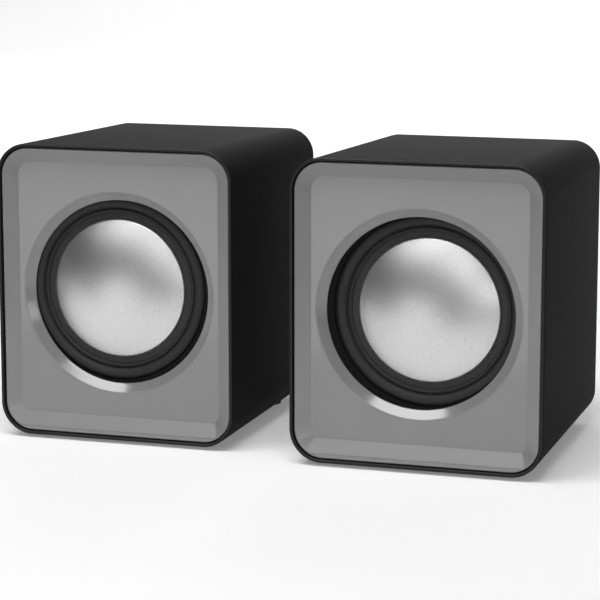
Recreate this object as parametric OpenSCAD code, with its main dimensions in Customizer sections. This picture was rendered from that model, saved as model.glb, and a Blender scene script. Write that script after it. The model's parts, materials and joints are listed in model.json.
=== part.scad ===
// A pair of small powered desktop speakers. Units mm, Z up, the fronts face -Y.
// Each speaker is a drafted plastic sleeve with a baffle wall inside its front, a dished trim
// bezel pressed into its front lip, a screwed rear cover and one full-range driver.
// The right speaker also holds the amplifier board and a volume control.

/* [Cabinet] */
// Width of one cabinet at its front lip
cabinet_w = 76; // [60:1:110]
// Height of one cabinet at its front lip
cabinet_h = 90; // [70:1:130]
// Depth of one cabinet
cabinet_d = 83; // [70:1:120]
// Radius of the four long edges at the front
corner_r = 9.8; // [6:0.1:16]
// How much each side leans in, per mm of depth
draft = 0.015; // [0:0.005:0.03]
// Wall thickness
wall = 2.4; // [1.6:0.1:3.5]
// Width of the lip that shows around the bezel
lip_w = 1.05; // [0.8:0.05:1.6]
// Rounding of the front edge
lip_round = 0.5; // [0.2:0.1:0.8]

/* [Bezel] */
// Gap between the bezel and the lip, each side
bezel_gap = 0.25; // [0.1:0.05:0.5]
// How far the bezel's outer edge sits behind the lip
bezel_edge = 0.7; // [0.4:0.1:1.5]
// Width of the sloping border
border_w = 4.3; // [3:0.1:7]
// Width of the gentler slope along the bottom
sill_w = 5.5; // [4.5:0.1:9]
// Depth of the main face behind the lip
face_y = 3.5; // [2.5:0.1:5]
// Thickness of the bezel
bezel_t = 2.0; // [1.4:0.1:3]
// Radius of the opening over the driver
opening_r = 28.2; // [24:0.1:34]
// Outer radius of the chamfer round the opening
bell_r = 31; // [28:0.1:36]
// Radius of the rounded throat behind the chamfer
throat_r = 0.6; // [0.3:0.1:1]

/* [Driver] */
// Radius of the dust cap
cap_r = 21.3; // [12:0.1:24]
// Height of the dust cap's dome
cap_rise = 5.5; // [3:0.1:8]
// Radius of the voice coil former, inside
coil_r = 9.85; // [8:0.05:12]
// How far the left driver sits off the opening's centre, sideways
left_shift_x = -1.2; // [-3:0.1:3]
// How far the right driver sits off the opening's centre, sideways
right_shift_x = 2.2; // [-3:0.1:3]
// How far both drivers sit above the opening's centre
shift_z = 0.9; // [-2:0.1:2]

/* [Pair] */
// Distance between the two cabinets' centre lines
pair_pitch = 96.5; // [85:0.5:400]
// How far the right speaker stands in front of the left one
right_forward = 8; // [0:0.5:20]
// Height of the front feet below the cabinet
foot_h = 1.0; // [0.6:0.1:3]

/* [Hidden] */
SIDED = ["cabinet", "front_bezel", "rear_cover", "gasket", "basket", "front_plate", "magnet",
         "yoke", "spider", "surround", "cone", "dust_cap", "coil_former", "coil_winding",
         "terminal_strip", "terminal_lugs", "tinsel_leads", "driver_screws", "cover_screws",
         "feet", "cord_grommet"];
ACTIVE = ["link_grommet", "circuit_board", "amplifier_chip", "capacitors", "volume_control",
          "volume_shaft", "volume_knob", "board_screws", "driver_leads"];
LEFT = -1;
RIGHT = 1;
eps = 0.1;                      // overcut, so that no cut ends on a face
$fn = 96;

// Depths behind the lip
shoulder_y = 6.85;              // shoulder that the bezel's skirt meets
flange_y = 8.4;                 // front of the basket's flange
flange_t = 1.2;
baffle_y = flange_y + flange_t;
baffle_t = 2.4;
shelf_y = 16;                   // shelf that carries the spider
seat_y = 20;                    // rear of the basket, where the motor is riveted
plate_t = 3;
magnet_t = 8;
cover_t = 2.4;
cover_y = cabinet_d - cover_t;
board_y = 72;
board_t = 1.6;
// Radii
baffle_r = 28.9;
flange_half = 32;
basket_r = 27.6;
rim_r = 24.7;                   // outer edge of the cone
roll_r = 1.6;                   // radius of the surround's half roll
screw_xz = 26.9;                // driver screws, each way from the driver's centre
pole_r = 9.6;
former_t = 0.15;
winding_t = 0.75;
gap_r = 11.05;                  // bore of the front plate
motor_r = 21;
magnet_r = 22.5;
cord_r = 1.9;
boss_x = 29.5;
boss_z = 36;
knob_x = 12;
knob_z = 22;
knob_r = 7.5;
knob_len = 7;
post_x = 20;                    // posts that carry the circuit board
post_z = 11;
board_z = knob_z - 16;          // middle of the posts
inlet_x = 12;                   // cord inlets
inlet_z = -30;
foot_r = 4.5;
foot_x = 25;
foot_front = 14;
foot_back = 70;
peg_x = 21;
peg_z = 38;
throat_y = face_y + bezel_t + 0.6;  // back of the collar round the opening
bezel_w = cabinet_w - 2 * (lip_w + bezel_gap);
bezel_h = cabinet_h - 2 * (lip_w + bezel_gap);
bezel_r = corner_r - lip_w - bezel_gap;

// The pair's bounding box is centred on the origin front to back, and stands on Z = 0
rear_reach = max(cabinet_d + 1.5, cabinet_d - right_forward + knob_len + 0.5);
left_front = (right_forward - rear_reach) / 2;
function front_of(side) = side == LEFT ? left_front : left_front - right_forward;
function draft_at(y) = draft * y;
function arc(cx, cy, r, a0, a1, n) = [for (i = [0:n]) let (a = a0 + (a1 - a0) * i / n)
                                      [cx + r * cos(a), cy + r * sin(a)]];

module place(side) translate([side * pair_pitch / 2, front_of(side), foot_h + cabinet_h / 2])
    children();

module at_driver(side) place(side)
    translate([side == LEFT ? left_shift_x : right_shift_x, 0, shift_z]) children();

// A rod along Y, from y0 to y1
module rod(y0, y1, r) translate([0, y0, 0]) rotate([-90, 0, 0]) cylinder(h = y1 - y0, r = r);

// A solid of revolution about Y from [radius, y] points
module turned(points) rotate([-90, 0, 0]) rotate_extrude() polygon(points);

// A bar along Y with round long edges whose sides all lean in by "lean" over its length.
// The centres of the corner radii stay put, so each edge is a plain cone.
module leaning_bar(w, h, r, len, lean) {
    cx = w / 2 - r;
    cz = h / 2 - r;
    for (sx = [-1, 1], sz = [-1, 1]) translate([sx * cx, 0, sz * cz])
        rotate([-90, 0, 0]) cylinder(h = len, r1 = r, r2 = r - lean);
    translate([0, 0, -cz]) linear_extrude(height = 2 * cz)
        polygon([[-w / 2, 0], [w / 2, 0], [w / 2 - lean, len], [-w / 2 + lean, len]]);
    translate([-cx, 0, 0]) rotate([90, 0, 90]) linear_extrude(height = 2 * cx)
        polygon([[0, -h / 2], [0, h / 2], [len, h / 2 - lean], [len, -h / 2 + lean]]);
}

// The space between y0 and y1 that lies "inset" inside the cabinet's outer surface
module inside(y0, y1, inset) {
    t = inset + draft_at(y0);
    translate([0, y0, 0]) leaning_bar(cabinet_w - 2 * t, cabinet_h - 2 * t, corner_r - t,
                                      y1 - y0, draft_at(y1 - y0));
}

// A straight rounded block behind the bezel's outline
module bezel_block(y0, y1, inset) translate([0, y0, 0])
    leaning_bar(bezel_w - 2 * inset, bezel_h - 2 * inset, bezel_r - inset, y1 - y0, 0);

module four(x, z) for (sx = [-1, 1], sz = [-1, 1]) translate([sx * x, 0, sz * z]) children();

// A wire along a list of points, with round joints
module wire(p, r) {
    for (i = [0:len(p) - 2]) {
        d = p[i + 1] - p[i];
        translate(p[i]) rotate([0, acos(d[2] / norm(d)), atan2(d[1], d[0])])
            cylinder(h = norm(d), r = r, $fn = 24);
    }
    for (q = p) translate(q) sphere(r = r * 1.06, $fn = 24);
}

// A pan-head screw along Y with a cross recess, its head's underside at y = 0
module screw(shank_r, shank_l, head_r, head_t) difference() {
    union() {
        rod(-eps, shank_l, shank_r);
        turned([[0, 0], [0, -head_t], [head_r * 0.6, -head_t], [head_r, -head_t * 0.4],
                [head_r, 0]]);
    }
    for (a = [45, 135]) rotate([0, a, 0])
        translate([-head_r * 0.6, -head_t - eps, -0.3]) cube([head_r * 1.2, 0.9, 0.6]);
}

module cabinet(side) color("DimGray") place(side) difference() {
    union() {
        difference() {
            union() {
                lip_in = draft_at(lip_round) + lip_round;
                leaning_bar(cabinet_w - 2 * lip_in, cabinet_h - 2 * lip_in, corner_r - lip_in,
                            lip_round, -lip_round);
                inside(lip_round, cabinet_d, 0);
            }
            translate([0, -eps, 0]) leaning_bar(cabinet_w - 2 * lip_w, cabinet_h - 2 * lip_w,
                                                corner_r - lip_w, shoulder_y + eps, 0);
            inside(shoulder_y - eps, baffle_y, wall);
            inside(baffle_y + baffle_t, cover_y + eps, wall);
            inside(cover_y, cabinet_d + eps, lip_w + 0.2);
            for (x = [-1, 1], y = [foot_front, foot_back])
                translate([x * foot_x, y, -cabinet_h / 2 - eps])
                    cylinder(h = eps + draft_at(y) + 0.7, r = foot_r + 0.15);
        }
        // Bosses for the cover's screws, webbed to the two walls beside them
        four(boss_x, boss_z) rod(60, cover_y, 3.4);
        for (sx = [-1, 1], sz = [-1, 1]) {
            translate([sx * boss_x - (sx > 0 ? 0 : 6), 60, sz * boss_z - 0.8])
                cube([6, cover_y - 60, 1.6]);
            translate([sx * boss_x - 0.8, 60, sz * boss_z - (sz > 0 ? 0 : 6.5)])
                cube([1.6, cover_y - 60, 6.5]);
        }
        // Bosses for the driver's screws
        translate([side == LEFT ? left_shift_x : right_shift_x, 0, shift_z])
            four(screw_xz, screw_xz) rod(baffle_y, baffle_y + baffle_t + 3.5, 3.1);
    }
    four(boss_x, boss_z) rod(62, cover_y + eps, 1.35);
    four(peg_x, peg_z) rod(baffle_y - eps, baffle_y + baffle_t + eps, 2.0);
    translate([side == LEFT ? left_shift_x : right_shift_x, 0, shift_z]) {
        rod(baffle_y - eps, baffle_y + baffle_t + eps, baffle_r);
        four(screw_xz, screw_xz) rod(baffle_y - eps, baffle_y + 5, 1.35);
    }
}

module front_bezel(side) color("Gray") place(side) {
    difference() {
        union() {
            difference() {
                bezel_block(bezel_edge, shoulder_y - 0.05, 0);
                bezel_block(bezel_edge + bezel_t, shoulder_y, 1.8);
            }
            bezel_block(bezel_edge, bezel_edge + bezel_t, 0);
            translate([0, bezel_edge + bezel_t, 0])
                leaning_bar(bezel_w, bezel_h, bezel_r, face_y - bezel_edge, border_w);
            four(peg_x, peg_z) rod(face_y + bezel_t - eps, baffle_y + baffle_t + 1, 1.85);
            rod(face_y + bezel_t - eps, throat_y, bell_r);
        }
        difference() {
            translate([0, bezel_edge, 0])
                leaning_bar(bezel_w, bezel_h, bezel_r, face_y - bezel_edge, border_w);
            // The sill: a gentler slope that meets the side borders in a crease
            translate([-bezel_w / 2, 0, -bezel_h / 2]) rotate([90, 0, 90])
                linear_extrude(height = bezel_w)
                    polygon([[bezel_edge, 0], [face_y, sill_w], [face_y, 0]]);
        }
        // The opening: a chamfer, a rounded throat and a straight bore
        turned(concat([[0, face_y - 1], [bell_r, face_y - 1], [bell_r, face_y]],
            [for (a = [40:10:90]) [opening_r + throat_r * (1 - sin(a)),
                                   throat_y - throat_r * cos(a)]],
            [[opening_r, throat_y + 1], [0, throat_y + 1]]));
    }
}

module rear_cover(side) color("SlateGray") place(side) difference() {
    union() {
        inside(cover_y, cabinet_d, lip_w + 0.35);
        if (side == RIGHT) translate([0, 0, board_z])
            four(post_x, post_z) rod(board_y + board_t, cover_y + eps, 2.4);
    }
    four(boss_x, boss_z) rod(cover_y - 1, cabinet_d + 1, 1.6);
    four(boss_x, boss_z) rod(cabinet_d - 1.3, cabinet_d + 1, 2.9);
    translate([-inlet_x, 0, inlet_z]) rod(cover_y - 1, cabinet_d + 1, 3.1);
    if (side == RIGHT) {
        translate([inlet_x, 0, inlet_z]) rod(cover_y - 1, cabinet_d + 1, 3.1);
        translate([knob_x, 0, knob_z]) rod(cover_y - 1, cabinet_d + 1, 4.2);
        translate([0, 0, board_z]) four(post_x, post_z) rod(board_y, board_y + 7, 1.05);
    }
}

module gasket(side) color("Black") at_driver(side) difference() {
    rod(throat_y, flange_y - 0.4, 31);
    rod(face_y, flange_y, 28.4);
}

module basket(side) color("DarkSlateGray") at_driver(side) difference() {
    union() {
        difference() {
            translate([0, flange_y, 0]) leaning_bar(2 * flange_half, 2 * flange_half, 6, flange_t, 0);
            rod(flange_y - 1, baffle_y + 1, basket_r);
        }
        difference() {
            turned([[basket_r, flange_y + 0.2], [basket_r + 1, flange_y + 0.2],
                    [basket_r + 1, baffle_y], [23.6, shelf_y], [23.6, shelf_y + 1],
                    [20.6, shelf_y + 1], [20.6, seat_y], [gap_r + 0.6, seat_y],
                    [gap_r + 0.6, seat_y - 1], [19.6, seat_y - 1], [19.6, shelf_y],
                    [22.6, shelf_y], [basket_r, baffle_y]]);
            for (a = [0:90:270]) rotate([0, a, 0]) translate([-11, baffle_y + 1, 0])
                cube([22, 4.6, 30]);
        }
        translate([-5.5, shelf_y, 20]) cube([11, 1, 4.4]);
    }
    four(screw_xz, screw_xz) rod(flange_y - 1, baffle_y + 1, 1.6);
}

module front_plate(side) color("Silver") at_driver(side) difference() {
    rod(seat_y, seat_y + plate_t, motor_r);
    rod(seat_y - 1, seat_y + plate_t + 1, gap_r);
}

module magnet(side) color("DarkGray") at_driver(side) turned([
    [13, seat_y + plate_t], [magnet_r - 0.6, seat_y + plate_t],
    [magnet_r, seat_y + plate_t + 0.6], [magnet_r, seat_y + plate_t + magnet_t - 0.6],
    [magnet_r - 0.6, seat_y + plate_t + magnet_t], [13, seat_y + plate_t + magnet_t]]);

module yoke(side) color("Silver") at_driver(side) turned([
    [0, seat_y], [pole_r - 0.4, seat_y], [pole_r, seat_y + 0.4],
    [pole_r, seat_y + plate_t + magnet_t], [motor_r, seat_y + plate_t + magnet_t],
    [motor_r, seat_y + plate_t + magnet_t + 2.6], [motor_r - 1, seat_y + plate_t + magnet_t + 3.5],
    [0, seat_y + plate_t + magnet_t + 3.5]]);

// Ribs of the spider: a shallow wave between the former and the glued rim
module spider(side) color("Goldenrod") at_driver(side) {
    inner = coil_r + former_t + 0.05;
    n = 24;
    wave = [for (i = [0:n]) [inner + (19.8 - inner) * i / n,
                             shelf_y - 0.8 - 0.45 * cos(360 * 4 * i / n + 180)]];
    turned(concat(wave, [[19.9, shelf_y - 0.35], [22.4, shelf_y - 0.35], [22.4, shelf_y],
                         [19.8, shelf_y]],
                  [for (i = [n:-1:0]) wave[i] + [0, 0.35]]));
}

module surround(side) color("Black") at_driver(side) {
    mid = rim_r + 0.1 + roll_r;
    y = flange_y - 0.4;
    t = 0.4;
    turned(concat([[23.3, y], [rim_r + 0.1, y]], arc(mid, y, roll_r, 180, 360, 10),
                  [[30.8, y], [30.8, y + t]], [[mid + roll_r - t, y + t]],
                  arc(mid, y, roll_r - t, 360, 180, 10), [[mid - roll_r + t, y + t * 0.5]],
                  [[23.3, y + t * 0.5]]));
}

// The cone: a flat rim that carries the surround and the dust cap, then the shallow cone
module cone(side) color("Black") at_driver(side) {
    y = flange_y - 0.2;
    neck = coil_r + former_t + 0.05;
    turned([[neck, 13], [cap_r - 0.8, y], [rim_r, y], [rim_r, y + 0.4], [cap_r - 0.6, y + 0.5],
            [neck, 13.6]]);
}

module dust_cap(side) color("Silver") at_driver(side) {
    big = (pow(cap_r, 2) + pow(cap_rise, 2)) / (2 * cap_rise);
    half = asin(cap_r / big);
    y = flange_y - 0.55;
    t = 0.4;
    turned(concat([for (i = [0:12]) let (a = half * i / 12)
                       [big * sin(a), y - cap_rise + big * (1 - cos(a))]],
                  [for (i = [12:-1:0]) let (a = half * i / 12)
                       [(big - t) * sin(a), y - cap_rise + t + (big - t) * (1 - cos(a))]]));
}

module coil_former(side) color("Tan") at_driver(side) difference() {
    rod(12.4, 24.6, coil_r + former_t);
    rod(12, 25, coil_r);
}

module coil_winding(side) color("Peru") at_driver(side) difference() {
    rod(18.6, 24.4, coil_r + former_t + winding_t);
    rod(18, 25, coil_r + former_t);
}

module terminal_strip(side) color("SaddleBrown") at_driver(side)
    translate([-6, shelf_y + 1, 21.5]) difference() {
        cube([12, 1.2, 6.8]);
        for (x = [3, 9]) translate([x, 0, 4.8]) rod(-1, 2, 0.8);
    }

module terminal_lugs(side) color("Gold") at_driver(side) for (x = [-3, 3]) {
    translate([x, 0, 26.3]) rod(shelf_y + 1, shelf_y + 2.6, 0.75);
    translate([x - 1.2, shelf_y + 2.2, 21.6]) cube([2.4, 0.4, 6.6]);
}

module tinsel_leads(side) color("Peru") at_driver(side) for (x = [-3, 3])
    wire([[x * 1.3, 12.9, 12.5], [x * 1.25, 13.6, 16], [x * 1.15, 13.8, 21], [x, 14.2, 25.2],
          [x, 15.4, 26.3], [x, shelf_y + 0.65, 26.3]], 0.3);

module driver_screws(side) color("Silver") at_driver(side)
    four(screw_xz, screw_xz) translate([0, flange_y, 0]) screw(1.3, 5.2, 2.5, 1.6);

module cover_screws(side) color("Silver") place(side)
    four(boss_x, boss_z) translate([0, cabinet_d - 1.3, 0]) mirror([0, 1, 0])
        screw(1.3, 12, 2.6, 1.2);

module feet(side) color("Black") place(side)
    for (x = [-1, 1], y = [foot_front, foot_back])
        translate([x * foot_x, y, -cabinet_h / 2 - foot_h])
            cylinder(h = foot_h + draft_at(y) + 0.6, r = foot_r);

// A rubber bush snapped into the cover, which the cord passes through
module grommet(side, x) place(side) translate([x, 0, inlet_z]) turned([
    [cord_r, cover_y - 1.2], [4, cover_y - 1.2], [4, cover_y], [3.05, cover_y],
    [3.05, cabinet_d], [4.3, cabinet_d], [4.3, cabinet_d + 0.8], [3.5, cabinet_d + 1.5],
    [cord_r, cabinet_d + 1.5]]);

module circuit_board() color("DarkGreen") place(RIGHT) difference() {
    translate([-24, board_y, board_z - 15]) cube([48, board_t, 30]);
    translate([0, 0, board_z]) four(post_x, post_z) rod(board_y - 1, board_y + 2, 1.4);
}

module amplifier_chip() color("Black") place(RIGHT) translate([-7, board_y - 2.2, 2]) {
    cube([12, 1.8, 4]);
    for (i = [0:7]) translate([0.6 + i * 1.5, 1.0, -1.2]) cube([0.5, 1.2, 6.4]);
}

module capacitors() color("DarkBlue") place(RIGHT) for (i = [0:2])
    translate([-10 + 11 * i, 0, -4]) {
        rod(board_y - 11, board_y - 1, 4);
        rod(board_y - 1, board_y, 3.7);
    }

module volume_control() color("LightGray") place(RIGHT) translate([knob_x, 0, knob_z])
    difference() {
        union() {
            translate([-5, board_y + board_t + 0.1, -6]) cube([10, 5, 11]);
            rod(board_y + 6, cover_y + 0.5, 3.9);
            for (x = [-2.5, 0, 2.5])
                translate([x - 0.3, board_y + board_t, -8.5]) cube([0.6, 0.6, 3]);
        }
        rod(board_y + 3.6, cabinet_d, 3.05);
    }

module volume_shaft() color("Silver") place(RIGHT) translate([knob_x, 0, knob_z])
    difference() {
        rod(board_y + 3.8, cabinet_d + 5.5, 3);
        translate([-4, cabinet_d + 0.8, 1.5]) cube([8, 6, 3]);
    }

module volume_knob() color("DimGray") place(RIGHT) translate([knob_x, 0, knob_z])
    difference() {
        union() {
            rod(cabinet_d + 0.5, cabinet_d + knob_len - 0.3, knob_r - 0.4);
            turned([[0, cabinet_d + knob_len - 0.4], [knob_r - 0.4, cabinet_d + knob_len - 0.4],
                    [knob_r - 1, cabinet_d + knob_len + 0.5], [0, cabinet_d + knob_len + 0.5]]);
            for (i = [0:23]) rotate([0, i * 15, 0]) translate([0, 0, knob_r - 0.6])
                rod(cabinet_d + 0.8, cabinet_d + knob_len - 0.6, 0.6, $fn = 24);
        }
        intersection() {
            rod(cabinet_d, cabinet_d + 5.6, 3.03);
            translate([-4, cabinet_d - 1, -4]) cube([8, 8, 5.53]);
        }
        rod(cabinet_d, cabinet_d + 0.9, 3.03);
        translate([-0.5, cabinet_d + knob_len - 0.3, 3]) cube([1, 2, 5]);
    }

module board_screws() color("Silver") place(RIGHT) translate([0, 0, board_z])
    four(post_x, post_z) translate([0, board_y, 0]) screw(1.0, 6, 2.2, 1.3);

module driver_leads() color("DarkRed") place(RIGHT) for (i = [-1, 1]) {
    x = right_shift_x + 3 * i;
    wire([[x, shelf_y + 3.3, 28], [x, 66, 28], [x, 66, 16], [x, board_y - 0.8, 16]], 0.7);
}

cabinet(LEFT);  // left_cabinet
front_bezel(LEFT);  // left_front_bezel
rear_cover(LEFT);  // left_rear_cover
gasket(LEFT);  // left_gasket
basket(LEFT);  // left_basket
front_plate(LEFT);  // left_front_plate
magnet(LEFT);  // left_magnet
yoke(LEFT);  // left_yoke
spider(LEFT);  // left_spider
surround(LEFT);  // left_surround
cone(LEFT);  // left_cone
dust_cap(LEFT);  // left_dust_cap
coil_former(LEFT);  // left_coil_former
coil_winding(LEFT);  // left_coil_winding
terminal_strip(LEFT);  // left_terminal_strip
terminal_lugs(LEFT);  // left_terminal_lugs
tinsel_leads(LEFT);  // left_tinsel_leads
driver_screws(LEFT);  // left_driver_screws
cover_screws(LEFT);  // left_cover_screws
feet(LEFT);  // left_feet
color("Black") grommet(LEFT, -inlet_x);  // left_cord_grommet
cabinet(RIGHT);  // right_cabinet
front_bezel(RIGHT);  // right_front_bezel
rear_cover(RIGHT);  // right_rear_cover
gasket(RIGHT);  // right_gasket
basket(RIGHT);  // right_basket
front_plate(RIGHT);  // right_front_plate
magnet(RIGHT);  // right_magnet
yoke(RIGHT);  // right_yoke
spider(RIGHT);  // right_spider
surround(RIGHT);  // right_surround
cone(RIGHT);  // right_cone
dust_cap(RIGHT);  // right_dust_cap
coil_former(RIGHT);  // right_coil_former
coil_winding(RIGHT);  // right_coil_winding
terminal_strip(RIGHT);  // right_terminal_strip
terminal_lugs(RIGHT);  // right_terminal_lugs
tinsel_leads(RIGHT);  // right_tinsel_leads
driver_screws(RIGHT);  // right_driver_screws
cover_screws(RIGHT);  // right_cover_screws
feet(RIGHT);  // right_feet
color("Black") grommet(RIGHT, -inlet_x);  // right_cord_grommet
color("Black") grommet(RIGHT, inlet_x);  // right_link_grommet
circuit_board();  // right_circuit_board
amplifier_chip();  // right_amplifier_chip
capacitors();  // right_capacitors
volume_control();  // right_volume_control
volume_shaft();  // right_volume_shaft
volume_knob();  // right_volume_knob
board_screws();  // right_board_screws
driver_leads();  // right_driver_leads
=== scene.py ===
# %% [markdown]
# # A pair of small desktop speakers
# Each speaker is a matt black plastic sleeve with a dished grey trim front and one driver.
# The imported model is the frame: it says where every part is and how it moves. This script gives
# the parts that show a finer surface and a finish. A new piece takes its place from the frame.

# %% Load the frame
import json

import bpy
import numpy as np
from mathutils import Matrix, Vector


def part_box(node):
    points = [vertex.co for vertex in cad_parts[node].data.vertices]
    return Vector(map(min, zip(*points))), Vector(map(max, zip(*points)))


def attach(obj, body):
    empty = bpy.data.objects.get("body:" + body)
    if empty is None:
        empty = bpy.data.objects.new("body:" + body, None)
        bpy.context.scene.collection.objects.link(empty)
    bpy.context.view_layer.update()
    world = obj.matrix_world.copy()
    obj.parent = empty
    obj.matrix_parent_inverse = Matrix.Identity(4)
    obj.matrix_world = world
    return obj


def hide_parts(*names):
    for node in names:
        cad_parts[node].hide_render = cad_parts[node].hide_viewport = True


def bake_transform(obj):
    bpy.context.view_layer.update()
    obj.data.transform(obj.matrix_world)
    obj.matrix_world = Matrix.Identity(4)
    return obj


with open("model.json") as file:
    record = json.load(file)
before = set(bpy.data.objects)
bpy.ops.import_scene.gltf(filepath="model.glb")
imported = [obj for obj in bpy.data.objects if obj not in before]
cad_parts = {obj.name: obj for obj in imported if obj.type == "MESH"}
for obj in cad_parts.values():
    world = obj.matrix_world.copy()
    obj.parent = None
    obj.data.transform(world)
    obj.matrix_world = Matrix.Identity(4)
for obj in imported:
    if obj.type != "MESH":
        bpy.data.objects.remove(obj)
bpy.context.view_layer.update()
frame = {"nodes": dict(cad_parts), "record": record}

MM = 0.001
SIDES = ("left", "right")
nodes = frame["nodes"]

# %% [markdown]
# ## Where each speaker stands
# A cabinet is symmetric, so the middle of its box is its centre line. Its lowest Y is the lip
# round the front. Every profile below gives its depth behind that lip, in millimetres.

# %% Centre lines and driver axes
def middle(node):
    """The x and z of the middle of a part's box: half the sum of its two corners."""
    low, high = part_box(node)
    return (low[0] + high[0]) / 2, (low[2] + high[2]) / 2


lip_of = {side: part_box(side + "_cabinet")[0][1] for side in SIDES}
axis_of = {side: middle(side + "_cabinet") for side in SIDES}
driver_of = {side: middle(side + "_dust_cap") for side in SIDES}
for side in SIDES:
    print(side, "lip at y", round(lip_of[side] / MM, 2), "axis", np.round(axis_of[side], 4))

# %% [markdown]
# ## The main sizes
# These repeat the sizes that the parts were designed to. The corner radii of the cabinet and of
# its bezel share their centres, so one outline, moved inwards by an "inset", draws them all. A
# name that ends in _Y is a depth behind the lip, and one that ends in _AT is how far to each side
# of a centre, and above and below it, four equal parts stand.

# %% Sizes in millimetres
CABINET_W, CABINET_H, CABINET_D = 76.0, 90.0, 83.0
CORNER_R = 9.8
DRAFT = 0.015
WALL = 2.4
LIP_W = 1.05
SHOULDER_Y = 6.85
BEZEL_INSET = 1.3
BEZEL_EDGE, FACE_Y, BEZEL_T = 0.7, 3.5, 2.0
BORDER_W, SILL_W, LEDGE_W = 4.3, 5.5, 1.2
OPENING_R, CHAMFER_R, THROAT_R = 28.2, 31.0, 0.6
THROAT_Y = FACE_Y + BEZEL_T + 0.6
BAFFLE_Y, BAFFLE_T, BAFFLE_R = 9.6, 2.4, 28.9
COVER_Y = CABINET_D - 2.4
BOSS_AT, SCREW_AT, PEG_AT = (29.5, 36.0), (26.9, 26.9), (21.0, 38.0)
print("cabinet", CABINET_W, CABINET_H, CABINET_D, "opening radius", OPENING_R)

# %% [markdown]
# ## From arrays to a mesh
# A surface is a grid of points, worked out as one array. Its rows and columns may close on
# themselves, and a row may shrink to one point, a pole. If a closed surface came out inside
# out, its volume is negative, and its faces are turned round.

# %% Grid, poles and volume
def grid_faces(rows, cols, wrap_rows, wrap_cols):
    """Each face joins a point to the next in its row and to the two behind them in the next."""
    r = np.arange(rows if wrap_rows else rows - 1)[:, None]
    c = np.arange(cols if wrap_cols else cols - 1)[None, :]
    r2, c2 = (r + 1) % rows, (c + 1) % cols
    return np.stack([r * cols + c, r * cols + c2, r2 * cols + c2, r2 * cols + c], -1).reshape(-1, 4)


def volume(points, faces):
    """The sum over triangles of one sixth of a . (b x c), which is positive if faces look out."""
    a, b, c, d = (points[faces[:, i]] for i in range(4))
    return (np.einsum("ij,ij->", a, np.cross(b, c)) + np.einsum("ij,ij->", a, np.cross(c, d))) / 6


def shell(points, wrap_rows=True, poles=False):
    """A closed surface from a grid of points. With poles, its first and last rows are points."""
    rows, cols = points.shape[:2]
    flat = points.reshape(-1, 3)
    faces = grid_faces(rows, cols, wrap_rows, True)
    if volume(flat - flat.mean(0), faces) < 0:
        faces = faces[:, ::-1]
    if poles:
        same = np.arange(len(flat))
        same[:cols] = 0
        same[-cols:] = len(flat) - cols
        faces = same[faces]
    return flat, faces


def piece(name, shells):
    """One mesh object, in metres, from closed surfaces in millimetres."""
    points, faces, start = [], [], 0
    for p, f in shells:
        points.append(p)
        faces.append(f + start)
        start += len(p)
    points, faces = np.concatenate(points) * MM, np.concatenate(faces)
    used, faces = np.unique(faces, return_inverse=True)
    points, faces = points[used], faces.reshape(-1, 4)
    # A face at a pole names one point twice: it is written as a triangle
    polygons = [list(dict.fromkeys(f)) for f in faces.tolist()]
    mesh = bpy.data.meshes.new(name)
    mesh.from_pydata(points.tolist(), [], [p for p in polygons if len(p) > 2])
    mesh.polygons.foreach_set("use_smooth", np.ones(len(mesh.polygons), bool))
    mesh.update()
    obj = bpy.data.objects.new(name, mesh)
    bpy.context.scene.collection.objects.link(obj)
    print(name, len(mesh.polygons), "faces")
    return obj


# %% [markdown]
# ## Rounded profiles
# Moulded and pressed parts have no sharp corners. A profile is drawn with its corners sharp,
# and each corner is then replaced by an arc that touches both of its sides.

# %% Rounding a profile
def rounded(corners, steps=6, closed=True):
    """Corners are (u, v, radius). An arc starts and ends at radius / tan(half the corner's angle)
    from its corner, and its centre is radius / sin(half the angle) away, along the bisector."""
    c = np.array(corners, float)
    p, radius = c[:, :2], c[:, 2]
    back = np.roll(p, 1, 0) - p
    ahead = np.roll(p, -1, 0) - p
    back /= np.linalg.norm(back, axis=1, keepdims=True)
    ahead /= np.linalg.norm(ahead, axis=1, keepdims=True)
    half = np.arccos(np.clip((back * ahead).sum(1), -1, 1)) / 2
    out = []
    for i in range(len(p)):
        if radius[i] == 0 or (not closed and i in (0, len(p) - 1)):
            out.append(p[i][None])
            continue
        bisector = back[i] + ahead[i]
        bisector /= np.linalg.norm(bisector)
        centre = p[i] + bisector * radius[i] / np.sin(half[i])
        reach = radius[i] / np.tan(half[i])
        first, last = p[i] + back[i] * reach - centre, p[i] + ahead[i] * reach - centre
        turn = np.arccos(np.clip(first @ last / radius[i] ** 2, -1, 1))
        t = np.linspace(0, 1, steps + 1)[:, None]
        out.append(centre + (first * np.sin((1 - t) * turn) + last * np.sin(t * turn)) / np.sin(turn))
    return np.concatenate(out)


print("a square with rounded corners:", rounded([(0, 0, 1), (4, 0, 1), (4, 4, 1), (0, 4, 1)]).shape)

# %% [markdown]
# ## Two ways to carry a profile
# The driver's parts are round, so their profiles turn about its axis. The cabinet and the bezel
# are rounded boxes, so their profiles travel round that outline.

# %% Turning about the driver's axis, and following the outline
def turned(profile, centre, front, segments=192, poles=False):
    """A point (r, y) of the profile goes to x = r cos a, z = r sin a about the axis, at depth y."""
    a = np.arange(segments) * 2 * np.pi / segments
    r, y = profile[:, 0, None], profile[:, 1, None] + 0 * a
    grid = np.stack([centre[0] / MM + r * np.cos(a), front / MM + y, centre[1] / MM + r * np.sin(a)], -1)
    return shell(grid, wrap_rows=not poles, poles=poles)


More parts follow.
